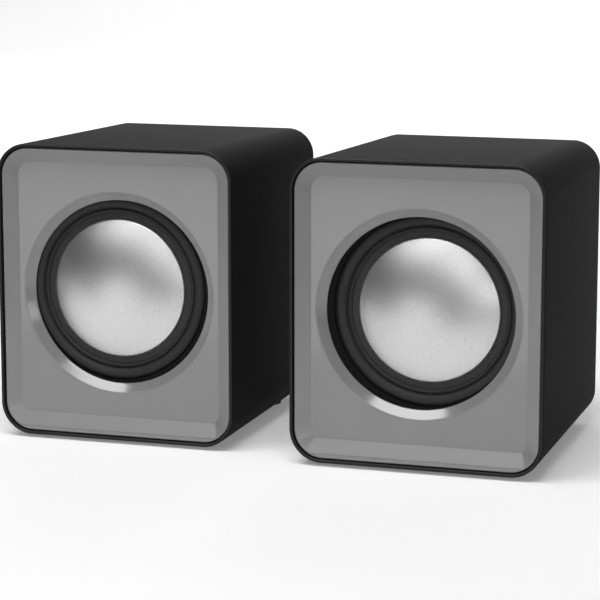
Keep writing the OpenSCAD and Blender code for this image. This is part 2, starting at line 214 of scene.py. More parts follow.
def outline(arc_steps=32, side_step=0.8):
    """Points on a rectangle that joins the corner centres, with the outward direction at each.
    A point of the outline at an inset is that point plus (corner radius - inset) outwards."""
    hx, hz = CABINET_W / 2 - CORNER_R, CABINET_H / 2 - CORNER_R
    at, out = [], []
    for k, (sx, sz) in enumerate([(1, 1), (-1, 1), (-1, -1), (1, -1)]):
        a = np.linspace(k, k + 1, arc_steps + 1) * np.pi / 2
        at.append(np.tile([sx * hx, sz * hz], (len(a), 1)))
        out.append(np.stack([np.cos(a), np.sin(a)], -1))
        along = 2 * (hx if k % 2 == 0 else hz)
        t = np.linspace(0, 1, int(along / side_step) + 1)[1:-1, None]
        nxt = [(-hx, hz), (-hx, -hz), (hx, -hz), (hx, hz)][k]
        at.append(at[-1][0] * (1 - t) + np.array(nxt) * t)
        out.append(np.tile(out[-1][-1], (len(t), 1)))
    return np.concatenate(at), np.concatenate(out)


OUTLINE_AT, OUTLINE_OUT = outline()


def placed(xz, y, side):
    """A point (x, z) from the cabinet's centre line, at depth y, plus that line and the lip."""
    x, z = xz[..., 0] + axis_of[side][0] / MM, xz[..., 1] + axis_of[side][1] / MM
    return np.stack([x, lip_of[side] / MM + y + 0 * x, z], -1)


def carried(profile, side):
    """A point (inset, y) of the profile goes to the outline moved in by inset, at depth y."""
    inset, y = profile[:, 0, None], profile[:, 1, None]
    xz = OUTLINE_AT + (CORNER_R - inset)[:, :, None] * OUTLINE_OUT
    return shell(placed(xz, y, side))


print(len(OUTLINE_AT), "points round the outline")

# %% [markdown]
# ## Colours and nodes
# Colours are written as the hex values that a paint card gives, which are sRGB. Blender's
# shaders work in linear light, so one function turns them. Another adds a node.

# %% Colour and node helpers
def linear(code):
    """sRGB to linear: v / 12.92 below 0.04045, else ((v + 0.055) / 1.055) to the power 2.4."""
    v = np.array([int(code[i:i + 2], 16) for i in (1, 3, 5)]) / 255
    v = np.where(v <= 0.04045, v / 12.92, ((v + 0.055) / 1.055) ** 2.4)
    return (*v.tolist(), 1.0)


def add(material, kind, settings=None, inputs=None):
    """Adds a node with its settings. An input is a value, or (node, output name) for a link."""
    tree = material.node_tree
    node = tree.nodes.new(kind)
    for key, value in (settings or {}).items():
        setattr(node, key, value)
    for key, value in (inputs or {}).items():
        if isinstance(value, tuple) and len(value) == 2 and isinstance(value[0], bpy.types.Node):
            tree.links.new(value[0].outputs[value[1]], node.inputs[key])
        else:
            node.inputs[key].default_value = value
    return node


def new_material(name, colour, **shader):
    """A material with one Principled shader. Keyword words_like_this set "Words Like This"."""
    material = bpy.data.materials.new(name)
    material.use_nodes = True
    material.node_tree.nodes.clear()
    names = {k: k.replace("_", " ").title().replace("Ior", "IOR") for k in shader}
    body = add(material, "ShaderNodeBsdfPrincipled", {},
               {"Base Color": linear(colour), **{names[k]: v for k, v in shader.items()}})
    add(material, "ShaderNodeOutputMaterial", {}, {"Surface": (body, "BSDF")})
    return material, body


print("the bezel's grey in linear light:", np.round(linear("#808080")[:3], 4))

# %% [markdown]
# ## Fine surface texture
# Most moulded parts copy the texture of their mould, and paint and rubber have a grain of their
# own. A noise on the object's own coordinates, which are metres, gives it: the noise's scale is
# one over the size of a grain. The same noise shifts the colour and the roughness a little.

# %% Grain for any material
def grain(material, body, size_mm, height_mm, colours, rough=None, detail=2.0, blotch_mm=9.0):
    """Bump and roughness follow a noise of the grain's size, and a slower noise mixes two
    colours. A noise's scale is 1 / (size in mm x 0.001)."""
    place = add(material, "ShaderNodeTexCoord")
    fine = add(material, "ShaderNodeTexNoise", {},
               {"Vector": (place, "Object"), "Scale": 1 / (size_mm * MM), "Detail": detail})
    slow = add(material, "ShaderNodeTexNoise", {},
               {"Vector": (place, "Object"), "Scale": 1 / (blotch_mm * MM), "Detail": 3.0})
    tint = add(material, "ShaderNodeMix", {"data_type": "RGBA"}, {0: (slow, "Fac")})
    tint.inputs[6].default_value = linear(colours[0])
    tint.inputs[7].default_value = linear(colours[1])
    links = material.node_tree.links
    links.new(tint.outputs[2], body.inputs["Base Color"])
    if rough:
        spread = add(material, "ShaderNodeMapRange", {},
                     {"Value": (fine, "Fac"), "To Min": rough[0], "To Max": rough[1]})
        links.new(spread.outputs["Result"], body.inputs["Roughness"])
    bump = add(material, "ShaderNodeBump", {},
               {"Height": (fine, "Fac"), "Strength": 1.0, "Distance": height_mm * MM})
    links.new(bump.outputs["Normal"], body.inputs["Normal"])
    return fine


# %% [markdown]
# ## Cabinet plastic: moulded ABS
# The sleeve is black ABS, moulded against a spark-eroded steel mould. That leaves a matt skin
# that hardly mirrors anything. Its real grain is about 0.1 mm, which is too fine to show, so it
# is drawn at 0.35 mm.

# %% Cabinet plastic
cabinet_abs, shader = new_material("moulded black ABS", "#1f1f1f")
grain(cabinet_abs, shader, 0.35, 0.010, ("#1d1d1d", "#212121"))
place = add(cabinet_abs, "ShaderNodeTexCoord")
# The front lip is a polished land of the mould. It is glossier where it faces forward and up
forward = add(cabinet_abs, "ShaderNodeVectorMath", {"operation": "DOT_PRODUCT"},
              {0: (place, "Normal"), 1: (0, -0.9, 0.44)})
for socket, elsewhere, on_lip in [("Specular IOR Level", 0.02, 0.3), ("Roughness", 0.64, 0.35)]:
    spread = add(cabinet_abs, "ShaderNodeMapRange", {"interpolation_type": "SMOOTHSTEP"},
                 {"Value": (forward, "Value"), "From Min": 0.55, "From Max": 0.95,
                  "To Min": elsewhere, "To Max": on_lip})
    cabinet_abs.node_tree.links.new(spread.outputs["Result"], shader.inputs[socket])
print(cabinet_abs.name, len(cabinet_abs.node_tree.nodes), "nodes")

# %% [markdown]
# ## Bezel plastic: half-gloss ABS
# The trim front is grey ABS from a polished mould. Its skin is smooth and half glossy, so edges
# catch thin bright lines. The waves under the gloss are very low and 2.5 mm wide, like orange peel.

# %% Bezel plastic
bezel_abs, shader = new_material("half-gloss grey ABS", "#808080", specular_ior_level=0.95)
fine = grain(bezel_abs, shader, 2.5, 0.0006, ("#7e7e7e", "#828282"), detail=1.0)
place = add(bezel_abs, "ShaderNodeTexCoord")
# The flat face and the chamfer were polished. The sloping borders kept the mill's satin finish
forward = add(bezel_abs, "ShaderNodeVectorMath", {"operation": "DOT_PRODUCT"},
              {0: (place, "Normal"), 1: (0, -1, 0)})
satin = add(bezel_abs, "ShaderNodeValToRGB", {}, {"Fac": (forward, "Value")})
# A slope of 40 degrees, the chamfer's, faces forward by 0.77, and the border's 33 by 0.84
stops = satin.color_ramp.elements
stops[0].position, stops[1].position = 0.76, 0.98
stops.new(0.80)
stops.new(0.93)
for stop, rough in zip(stops, (0.1, 0.3, 0.3, 0.1)):
    stop.color = (rough, rough, rough, 1)
uneven = add(bezel_abs, "ShaderNodeMath", {"operation": "MULTIPLY_ADD"},
             {0: (fine, "Fac"), 1: 0.03, 2: (satin, "Color")})
bezel_abs.node_tree.links.new(uneven.outputs["Value"], shader.inputs["Roughness"])
print(bezel_abs.name, len(bezel_abs.node_tree.nodes), "nodes")

# %% [markdown]
# ## The driver's finishes
# The dust cap is spun aluminium, blasted with fine grit, so it spreads every light into a broad
# glow. The surround is moulded rubber with a dull skin, the cone is pressed paper, and the gasket
# is die-cut black foam. Its near-black colour is also painted shade: it stands in for the shadow
# in the gap behind the opening's lip. Their real grains are 0.05 to 0.1 mm, too fine to show,
# so they are drawn at 0.25 to 0.4 mm.

# %% Materials of the driver
cap_metal, shader = new_material("blasted aluminium", "#dcdcdc", metallic=1.0)
grain(cap_metal, shader, 0.3, 0.022, ("#cecece", "#e6e6e6"), rough=(0.34, 0.46), blotch_mm=0.7)

surround_rubber, shader = new_material("dull black rubber", "#262626", specular_ior_level=0.4)
grain(surround_rubber, shader, 0.3, 0.02, ("#1e1e1e", "#2c2c2c"), rough=(0.6, 0.75), blotch_mm=2.0)

cone_paper, shader = new_material("pressed black paper", "#2a2a2a", specular_ior_level=0.4)
grain(cone_paper, shader, 0.25, 0.012, ("#262626", "#303030"), rough=(0.5, 0.65), blotch_mm=3.0)

# Black foam. Its near-black colour is also painted shade for the gap behind the opening's lip
gasket_foam_and_shade, shader = new_material("black gasket foam and painted shade", "#0c0c0c", specular_ior_level=0.2)
grain(gasket_foam_and_shade, shader, 0.4, 0.05, ("#080808", "#101010"), rough=(0.85, 0.95))
print([m.name for m in (cap_metal, surround_rubber, cone_paper, gasket_foam_and_shade)])

# %% [markdown]
# ## Finishes that the covers hide
# Every part has its own, so the model stays right when it is opened. Each line starts from what
# the real material is and how it was made, and the comment over it says what the eye sees.

# %% Materials of the insides and the back
HIDDEN = {
    # name: colours, roughness, metallic, grain in mm, grain height in mm
    # Stoved black paint levels itself: a soft sheen with a trace of orange peel
    "painted pressed steel": (("#141414", "#1a1a1a"), (0.4, 0.5), 0.0, 0.6, 0.004),
    # Bright zinc plate: cool silver, with sharp but slightly cloudy reflections
    "zinc-plated steel": (("#b4b6b4", "#c8c8c4"), (0.25, 0.38), 1.0, 0.8, 0.002),
    # Sintered and ground: dark grey stone with a fine tooth
    "ground ferrite": (("#26262a", "#303034"), (0.55, 0.7), 0.0, 0.3, 0.01),
    # Cotton stiffened with resin: amber, and the weave shows through
    "varnished spider cloth": (("#8a5a20", "#b07c34"), (0.6, 0.75), 0.0, 0.5, 0.06),
    # Rolled kraft paper: plain matt brown
    "brown former paper": (("#8a6a3c", "#9c7a48"), (0.7, 0.8), 0.0, 0.4, 0.01),
    # Wound wire under clear enamel: glossy red-brown metal, ridged turn by turn
    "enamelled copper wire": (("#a04a1c", "#c46a34"), (0.25, 0.35), 1.0, 0.2, 0.02),
    # Pressed paper and resin: brown, with a dull polish
    "phenolic laminate": (("#5a3014", "#6e3e1c"), (0.4, 0.55), 0.0, 0.5, 0.006),
    # Hot-dipped tin over stamped brass: warm silver
    "tinned brass": (("#b8b090", "#d0c8a8"), (0.25, 0.35), 1.0, 0.6, 0.002),
    # Twisted strands of bare copper: many small glints
    "braided copper": (("#a85c30", "#c88050"), (0.35, 0.5), 1.0, 0.15, 0.03),
    # Chemically blackened screws: dark, with a half-metal sheen
    "black passivated steel": (("#161616", "#202020"), (0.3, 0.42), 0.6, 0.6, 0.003),
    # Die-cut pads: dead matt black
    "soft foot rubber": (("#121212", "#1a1a1a"), (0.7, 0.85), 0.0, 0.5, 0.015),
    # Moulded in a polished tool: a little smoother than the feet
    "grommet rubber": (("#101010", "#181818"), (0.5, 0.62), 0.0, 0.5, 0.008),
    # Glass cloth and resin under solder mask: glossy green
    "green circuit laminate": (("#0c5a24", "#10702e"), (0.2, 0.3), 0.0, 1.2, 0.004),
    # Transfer-moulded epoxy: fine matt black
    "moulded chip resin": (("#101010", "#1c1c1c"), (0.55, 0.68), 0.0, 0.15, 0.006),
    # Shrunk plastic film: dark blue and shiny
    "capacitor sleeve": (("#10142c", "#161c3c"), (0.18, 0.28), 0.0, 1.5, 0.004),
    # Moulded nylon: dark grey with a waxy sheen
    "control body nylon": (("#2c2c2c", "#363636"), (0.5, 0.6), 0.0, 0.4, 0.006),
    # Turned on a lathe: pale metal, finely clouded by the tool
    "turned aluminium": (("#b8b8b8", "#cccccc"), (0.25, 0.35), 1.0, 0.3, 0.003),
    # Moulded in a sparked tool: the same matt black as the cabinet
    "matt knob ABS": (("#161616", "#1c1c1c"), (0.5, 0.6), 0.0, 0.3, 0.01),
    # Extruded over the wire: clean red with a soft gloss
    "red PVC insulation": (("#901410", "#a81c16"), (0.35, 0.45), 0.0, 1.0, 0.003),
}
hidden = {}
for name, (colours, rough, metallic, size, height) in HIDDEN.items():
    hidden[name], shader = new_material(name, colours[0], metallic=metallic)
    grain(hidden[name], shader, size, height, colours, rough=rough)
print(len(bpy.data.materials), "materials")

# %% [markdown]
# ## Finishing a piece
# A finished piece gets the finish of the record's slot for its part, hides that part, and
# rides on a body.

# %% Slots, and one call that finishes a piece
SLOTS = {s["node"]: s["material_slot"] for s in frame["record"]["subparts"]}
FINISH = {
    "cabinet_plastic": cabinet_abs, "bezel_plastic": bezel_abs, "satin_cap": cap_metal,
    "black_rubber": surround_rubber, "black_cone": cone_paper, "black_foam": gasket_foam_and_shade,
    "pressed_steel": hidden["painted pressed steel"], "plated_steel": hidden["zinc-plated steel"],
    "ferrite": hidden["ground ferrite"], "treated_cloth": hidden["varnished spider cloth"],
    "former_paper": hidden["brown former paper"], "copper_wire": hidden["enamelled copper wire"],
    "terminal_board": hidden["phenolic laminate"], "tinned_brass": hidden["tinned brass"],
    "copper_braid": hidden["braided copper"], "zinc_screws": hidden["zinc-plated steel"],
    "black_screws": hidden["black passivated steel"], "foot_rubber": hidden["soft foot rubber"],
    "grommet_rubber": hidden["grommet rubber"], "knob_plastic": hidden["matt knob ABS"],
    "circuit_laminate": hidden["green circuit laminate"], "shaft_metal": hidden["turned aluminium"],
    "chip_resin": hidden["moulded chip resin"], "capacitor_sleeve": hidden["capacitor sleeve"],
    "control_body": hidden["control body nylon"], "lead_insulation": hidden["red PVC insulation"],
}


def finished(obj, node, body):
    """Gives the piece the finish of its node's slot, hides that node, and puts the piece on
    its body. A piece that bends between two bodies rides on neither, so its body is None."""
    obj.data.materials.clear()
    obj.data.materials.append(FINISH[SLOTS[node]])
    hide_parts(node)
    if body:
        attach(obj, body)


print(len(SLOTS), "parts use", len(set(SLOTS.values())), "finishes")

# %% [markdown]
# ## The cabinet
# The real sleeve is one injection moulding. Its sides lean in towards the back, so that it
# leaves the mould. Its section is a thin wall with a rounded lip in front, a shoulder that
# stops the bezel, and a rebate for the rear cover. That section travels round the outline.

# %% Cabinet sleeve, baffle wall and screw bosses
def lean(y):
    """How far the outside has leaned in at depth y: draft times y."""
    return DRAFT * y


def cabinet_section():
    """The wall's section as (inset, y), outside first, from the lip to the back and home."""
    rebate = LIP_W + 0.2
    return rounded([
        (0.0, 0.0, 0.5), (lean(CABINET_D), CABINET_D, 0.4),
        (rebate + lean(CABINET_D), CABINET_D, 0.25), (rebate + lean(COVER_Y), COVER_Y, 0.1),
        (WALL + lean(COVER_Y), COVER_Y, 0.3), (WALL + lean(SHOULDER_Y), SHOULDER_Y, 0.3),
        (LIP_W, SHOULDER_Y, 0.15), (LIP_W, 0.0, 0.22)], steps=8)


def baffle_plate(side):
    """A wall with a round hole. Its section runs from the sleeve to the hole, so a row is a mix
    of the outline and a circle of the hole's radius about the driver's axis."""
    off = (np.array(driver_of[side]) - np.array(axis_of[side])) / MM
    inset = WALL - 0.4 + lean(BAFFLE_Y + BAFFLE_T)
    outer = OUTLINE_AT + (CORNER_R - inset) * OUTLINE_OUT
    ray = outer - off
    hole = off + BAFFLE_R * ray / np.linalg.norm(ray, axis=1, keepdims=True)
    rows = np.stack([outer, hole, hole, outer])
    y = np.array([BAFFLE_Y, BAFFLE_Y, BAFFLE_Y + BAFFLE_T, BAFFLE_Y + BAFFLE_T])[:, None]
    return shell(placed(rows, y, side))


def corners(reach, centre):
    """The four points that reach (x, z) to each side of a centre and above and below it."""
    x, z = reach
    return [(centre[0] + sx * x * MM, centre[1] + sz * z * MM) for sx in (-1, 1) for sz in (-1, 1)]


SCREW_HOLE_R = 1.35
BOSS = rounded([(SCREW_HOLE_R, 60, 0.2), (3.4, 60, 0.3), (3.4, COVER_Y, 0.2),
                (SCREW_HOLE_R, COVER_Y, 0.2)], 3)
PILLAR = rounded([(SCREW_HOLE_R, 11.9, 0), (3.1, 11.9, 0), (3.1, 15.5, 0.3),
                  (SCREW_HOLE_R, 15.5, 0.2)], 3)
for side in SIDES:
    parts = [carried(cabinet_section(), side), baffle_plate(side)]
    parts += [turned(BOSS, at, lip_of[side], 32) for at in corners(BOSS_AT, axis_of[side])]
    parts += [turned(PILLAR, at, lip_of[side], 32) for at in corners(SCREW_AT, driver_of[side])]
    finished(piece(side + "_sleeve", parts), side + "_cabinet", side + "_speaker")

# %% [markdown]
# ## The bezel
# The trim front is a shallow tray. Its border slopes in from a rounded edge. Along the bottom a
# sill slopes in from a narrow ledge, and meets the border in a crease at each lower corner. The
# depth at a point is the least of three: the border's slope, the sill's slope and the flat face.
# Where two of them are nearly equal the least is softened, as the mould's polished edges are.
# Round the opening runs a chamfer with a sharp outer edge, which catches the overhead light.
# A formula suits this better than cutting solids, because every crease then falls into place.

# %% Bezel surface
def soft_least(a, b, width):
    """The lower of a and b, less width / 4 x (1 - |a - b| / width) squared near the crossing."""
    h = np.clip(1 - np.abs(a - b) / width, 0, 1)
    return np.minimum(a, b) - width / 4 * h * h


def tray_depth(inset, z):
    """Depth of the front surface from the distance inside the outline and the height."""
    border = BEZEL_EDGE + (FACE_Y - BEZEL_EDGE) * (inset - BEZEL_INSET) / BORDER_W
    low = -CABINET_H / 2 + BEZEL_INSET + LEDGE_W
    sill = BEZEL_EDGE + (FACE_Y - BEZEL_EDGE) * (z - low) / (SILL_W - LEDGE_W)
    # Below the sill a ledge is left, which slopes in by 0.1 mm only
    sill = -soft_least(-sill, -(BEZEL_EDGE + 0.1 * (z - low + LEDGE_W)), 0.07)
    return soft_least(soft_least(border, sill, 0.07), FACE_Y + 0 * z, 0.09)


def chamfer_section():
    """The opening's edge as (radius, y): a straight chamfer, then an arc about the point
    (opening radius + throat radius, throat depth) that turns it straight back."""
    a = np.radians(np.linspace(40, 90, 9))
    r = OPENING_R + THROAT_R * (1 - np.sin(a))
    y = THROAT_Y - THROAT_R * np.cos(a)
    t = np.linspace(0, 1, 8)[:-1]
    return (np.concatenate([CHAMFER_R + (r[0] - CHAMFER_R) * t, r]),
            np.concatenate([FACE_Y + (y[0] - FACE_Y) * t, y]))


print("border, sill and face meet at", SILL_W, "mm up; chamfer", len(chamfer_section()[0]), "points")

# %% [markdown]
# The tray's section changes from the sides to the bottom, so it is a list of rows that run round
# the outline. The last rows leave the rounded rectangle for the round opening, and then go back
# along the rear, so that the tray is one closed surface. Four pegs hold it to the baffle wall.

# %% Bezel rows and pieces
FLAT_INSET, LAST_INSET = 6.1, 8.4
EDGE_R = 0.35


def moved_in(inset):
    """How far each point of the outline moves in: by the inset up to 6.1 mm. Past that the bottom
    takes the whole of the rest, because the sill is wider there, and the sides only 0.06 of it."""
    share = np.clip((-OUTLINE_OUT[:, 1] - 0.2) / 0.6, 0.06, 1)
    return np.minimum(inset, FLAT_INSET) + max(inset - FLAT_INSET, 0) * share


def ring(inset):
    """The outline moved in: each point plus (corner radius - how far it moves) outwards."""
    return OUTLINE_AT + (CORNER_R - moved_in(inset))[:, None] * OUTLINE_OUT


def bezel_rows():
    """The rows of the closed section, each as (x, z) round the outline with a depth."""
    def depth(inset):
        return tray_depth(moved_in(inset), ring(inset)[:, 1])

    last = ring(LAST_INSET)
    toward = last / np.linalg.norm(last, axis=1, keepdims=True)
    # The skirt, then the rounded outer edge
    rows = [(ring(BEZEL_INSET), y) for y in (SHOULDER_Y - 0.05, 4.0, 1.4)]
    for a in np.radians(np.linspace(0, 75, 7)):
        i = BEZEL_INSET + EDGE_R * (1 - np.cos(a))
        rows.append((ring(i), depth(BEZEL_INSET + EDGE_R) + EDGE_R * (1 - np.sin(a)) - 0.02))
    # The sloping border, the sill and the face, with rows closer together near the creases
    insets = np.concatenate([np.arange(1.75, 5.3, 0.2), np.arange(5.35, FLAT_INSET, 0.05),
                             np.arange(FLAT_INSET, 7.2, 0.15), np.arange(7.2, 7.9, 0.05),
                             [LAST_INSET]])
    rows += [(ring(i), depth(i)) for i in insets]
    rows += [(last * (1 - t) + toward * (CHAMFER_R + 0.1) * t, FACE_Y)
             for t in np.linspace(0, 1, 10)[1:-1]]
    # The edge of the chamfer is hardly rounded: the mould's insert left it sharp
    rows.append((toward * (CHAMFER_R + 0.03), FACE_Y + 0.003))
    rows += [(toward * r, y) for r, y in zip(*chamfer_section())]
    # The collar, then home along the back of the tray and inside the skirt
    back = FACE_Y + BEZEL_T
    rows += [(toward * (CHAMFER_R - 0.3), THROAT_Y), (toward * CHAMFER_R, THROAT_Y - 0.2)]
    rows += [(toward * CHAMFER_R, back), (last, back), (ring(7.6), back)]
    rows += [(ring(3.2), 3.9), (ring(3.1), 4.2), (ring(3.1), SHOULDER_Y - 0.05)]
    return rows


PEG = rounded([(0, 5.3, 0), (1.85, 5.3, 0), (1.85, 13.0, 0.5), (0, 13.0, 0)], 5, closed=False)
for side in SIDES:
    grid = np.stack([placed(xz, y, side) for xz, y in bezel_rows()])
    pegs = [turned(PEG, at, lip_of[side], 24, poles=True) for at in corners(PEG_AT, axis_of[side])]
    finished(piece(side + "_bezel", [shell(grid)] + pegs), side + "_front_bezel", side + "_speaker")

# %% [markdown]
# ## The driver's front
# Behind the opening sit a foam gasket, a half roll of rubber with a groove and a ridge where it
# is glued to the cone, the cone's flat rim, and the dust cap, which is part of a sphere.

# %% Profiles of the driver's round parts
FLANGE_Y, SHEET_T = 8.0, 0.4
ROLL_MID, ROLL_R = 26.4, 1.6
FORMER_R = 10.05


def arc(u, v, r, start, end, steps):
    """Points (u + r cos a, v + r sin a), for angles a from start to end in degrees."""
    a = np.radians(np.linspace(start, end, steps + 1))
    return np.stack([u + r * np.cos(a), v + r * np.sin(a)], -1)


def surround_section():
    """A sheet 0.4 mm thick: glue flange, ridge, groove, half roll and outer flange."""
    ridge = arc(23.95, FLANGE_Y - 0.25, 0.38, 180, 360, 8)
    front = np.concatenate([[[23.3, 7.99], [23.45, 7.8]], ridge, [[24.55, 8.02]],
                            arc(ROLL_MID, FLANGE_Y, ROLL_R, 180, 360, 28),
                            [[28.2, FLANGE_Y], [30.8, FLANGE_Y]]])
    back = np.concatenate([[[30.8, FLANGE_Y + SHEET_T], [28.3, FLANGE_Y + SHEET_T]],
                           arc(ROLL_MID, FLANGE_Y, ROLL_R - SHEET_T, 360, 180, 20),
                           [[25.1, 8.2], [23.3, 8.2]]])
    return np.concatenate([front, back])


def cap_section(radius=21.3, rise=5.5, edge_y=7.85, thick=0.4, steps=40):
    """Part of a sphere of radius (radius squared + rise squared) / (2 rise), front then back."""
    big = (radius ** 2 + rise ** 2) / (2 * rise)
    a = np.linspace(0, np.arcsin(radius / big), steps)
    front = np.stack([big * np.sin(a), edge_y - rise + big * (1 - np.cos(a))], -1)
    inner = big - thick
    rear = np.stack([inner * np.sin(a), edge_y - rise + thick + inner * (1 - np.cos(a))], -1)
    return np.concatenate([front, rear[::-1]])


CONE = rounded([(FORMER_R, 13.0, 0), (20.5, 8.2, 0.6), (24.7, 8.2, 0.15), (24.7, 8.6, 0.15),
                (20.7, 8.7, 0.6), (FORMER_R, 13.6, 0)], 4)
GASKET = rounded([(28.4, THROAT_Y, 0.15), (CHAMFER_R, THROAT_Y, 0.1), (CHAMFER_R, FLANGE_Y, 0.1),
                  (28.4, FLANGE_Y, 0.3)], 4)
print("dust cap", cap_section().shape, "surround", surround_section().shape)

# %% [markdown]
# The surround bends between the speaker and the cone, so it rides on neither body, and its
# transform is baked into its mesh.

# %% Driver pieces
def bends(obj):
    """Bakes the piece's transform into its mesh and reads its points; no bending weights are set."""
    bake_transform(obj)
    points = np.empty(len(obj.data.vertices) * 3)
    obj.data.vertices.foreach_get("co", points)


for side in SIDES:
    at, front = driver_of[side], lip_of[side]
    cap = piece(side + "_cap", [turned(cap_section(), at, front, 256, poles=True)])
    finished(cap, side + "_dust_cap", side + "_diaphragm")
    cone = piece(side + "_cone_body", [turned(CONE, at, front)])
    finished(cone, side + "_cone", side + "_diaphragm")
    foam = piece(side + "_gasket_ring", [turned(GASKET, at, front)])
    finished(foam, side + "_gasket", side + "_speaker")
    roll = piece(side + "_roll", [turned(surround_section(), at, front, 256)])
    finished(roll, side + "_surround", None)
    bends(roll)

# %% [markdown]
# ## Two soft parts behind the cone
# In the real speaker they bend with the cone too, so here they ride on neither body. The spider
# is a disc of varnished cloth, hot-pressed into four round waves, which keeps the voice coil
# centred. The two tinsel leads are braided copper, soldered to the cone at one end and to the
# terminal strip at the other.

# %% Spider and tinsel leads
SHELF_Y = 16.0


def spider_section(inner=FORMER_R, outer=19.8, waves=4, thick=0.35):
    """Depth is the shelf's, less 0.8, plus 0.45 x cos(360 degrees x waves x t), t from 0 to 1."""
    t = np.linspace(0, 1, 97)
    r = inner + (outer - inner) * t
    y = SHELF_Y - 0.8 + 0.45 * np.cos(2 * np.pi * waves * t)
    rim = [[22.4, SHELF_Y - thick], [22.4, SHELF_Y]]
    back = np.stack([r, y + thick], -1)[::-1]
    return np.concatenate([np.stack([r, y], -1), rim, back])


def lead_path(x, steps=14):
    """A smooth line through six points. From p1 to p2, with neighbours p0 and p3, it is half of
    2 p1 + (p2 - p0) t + (2 p0 - 5 p1 + 4 p2 - p3) t squared + (3 p1 - p0 - 3 p2 + p3) t cubed."""
    p = np.array([(1.3 * x, 12.9, 12.5), (1.25 * x, 13.6, 16), (1.15 * x, 13.8, 21), (x, 14.2, 25.2),
                  (x, 15.4, 26.3), (x, SHELF_Y + 0.65, 26.3)])
    p = np.concatenate([[2 * p[0] - p[1]], p, [2 * p[-1] - p[-2]]])
    t = (np.arange(steps) / steps)[:, None]
    line = [(2 * b + (c - a) * t + (2 * a - 5 * b + 4 * c - d) * t ** 2
             + (3 * b - a - 3 * c + d) * t ** 3) / 2 for a, b, c, d in zip(p, p[1:], p[2:], p[3:])]
    return np.concatenate(line + [p[-2:-1]])


def lead(x, side, segments=18):
    """A tube with three strands: its radius is 0.27 + 0.03 cos(3 x (angle + twist)), in mm."""
    line = lead_path(x)
    along = np.gradient(line, axis=0)
    along /= np.linalg.norm(along, axis=1, keepdims=True)
    up = np.cross(along, (1, 0, 0))
    up /= np.linalg.norm(up, axis=1, keepdims=True)
    across = np.cross(along, up)
    a = np.arange(segments) * 2 * np.pi / segments
    twist = np.linspace(0, 12 * np.pi, len(line))[:, None]
    r = (0.27 + 0.03 * np.cos(3 * (a + twist)))[..., None]
    tube = line[:, None] + r * (up[:, None] * np.cos(a)[:, None] + across[:, None] * np.sin(a)[:, None])
    ends = [np.tile(line[k], (1, segments, 1)) for k in (0, -1)]
    origin = np.array([driver_of[side][0], lip_of[side], driver_of[side][1]]) / MM
    return shell(np.concatenate([ends[0], tube, ends[1]]) + origin, wrap_rows=False, poles=True)


for side in SIDES:
    disc = piece(side + "_spider_disc", [turned(spider_section(), driver_of[side], lip_of[side], 144)])
    finished(disc, side + "_spider", None)
    bends(disc)
    pair = piece(side + "_lead_pair", [lead(x, side) for x in (-3, 3)])
    finished(pair, side + "_tinsel_leads", None)
    bends(pair)

# %% [markdown]
# ## Feet and grommets
# These are small round shapes. The feet are die-cut rubber pads with a slightly rounded edge. A
# grommet is a moulded bush with a groove that the rear cover sits in.

# %% Feet and grommets
def upright(profile, x, y, segments=96):
    """A point (r, h) of the profile goes to x + r cos a, y + r sin a, at height h."""
    a = np.arange(segments) * 2 * np.pi / segments
    r, h = profile[:, 0, None], profile[:, 1, None] + 0 * a
    grid = np.stack([x / MM + r * np.cos(a), y / MM + r * np.sin(a), h], -1)
    return shell(grid, wrap_rows=False, poles=True)


FOOT_R, FOOT_H, FOOT_X, FOOT_YS = 4.5, 1.6, 25.0, (14.0, 70.0)
for side in SIDES:
    pads = []
    for sx in (-1, 1):
        for y in FOOT_YS:
            height = FOOT_H + lean(y)
            pad = rounded([(0, 0, 0), (FOOT_R, 0, 0.35), (FOOT_R, height, 0.1), (0, height, 0)],
                          5, closed=False)
            pads.append(upright(pad, axis_of[side][0] + sx * FOOT_X * MM, lip_of[side] + y * MM))
    finished(piece(side + "_foot_pads", pads), side + "_feet", side + "_speaker")

CORD_HOLE_R, COVER_HOLE_R = 1.9, 3.05
BUSH = rounded([(CORD_HOLE_R, COVER_Y - 1.2, 0.3), (4, COVER_Y - 1.2, 0.3), (4, COVER_Y, 0.05),
                (COVER_HOLE_R, COVER_Y, 0.05), (COVER_HOLE_R, CABINET_D, 0.05),
                (4.3, CABINET_D, 0.05), (4.3, CABINET_D + 0.8, 0.3), (3.5, CABINET_D + 1.5, 0.3),
                (CORD_HOLE_R, CABINET_D + 1.5, 0.35)], 5)
for node in ("left_cord_grommet", "right_cord_grommet", "right_link_grommet"):
    side = node.split("_")[0]
    bush = piece(node + "_bush", [turned(BUSH, middle(node), lip_of[side], 96)])
    finished(bush, node, side + "_speaker")

# %% [markdown]
# ## The volume knob
# The knob is moulded ABS. Its rim is fluted for grip, and a groove in its face points to the
# setting. It starts as a turned shape, and both details then move its points: the flutes along
# the radius, the groove along the axis.

# %% Knob with flutes and a pointer
KNOB = "right_volume_knob"


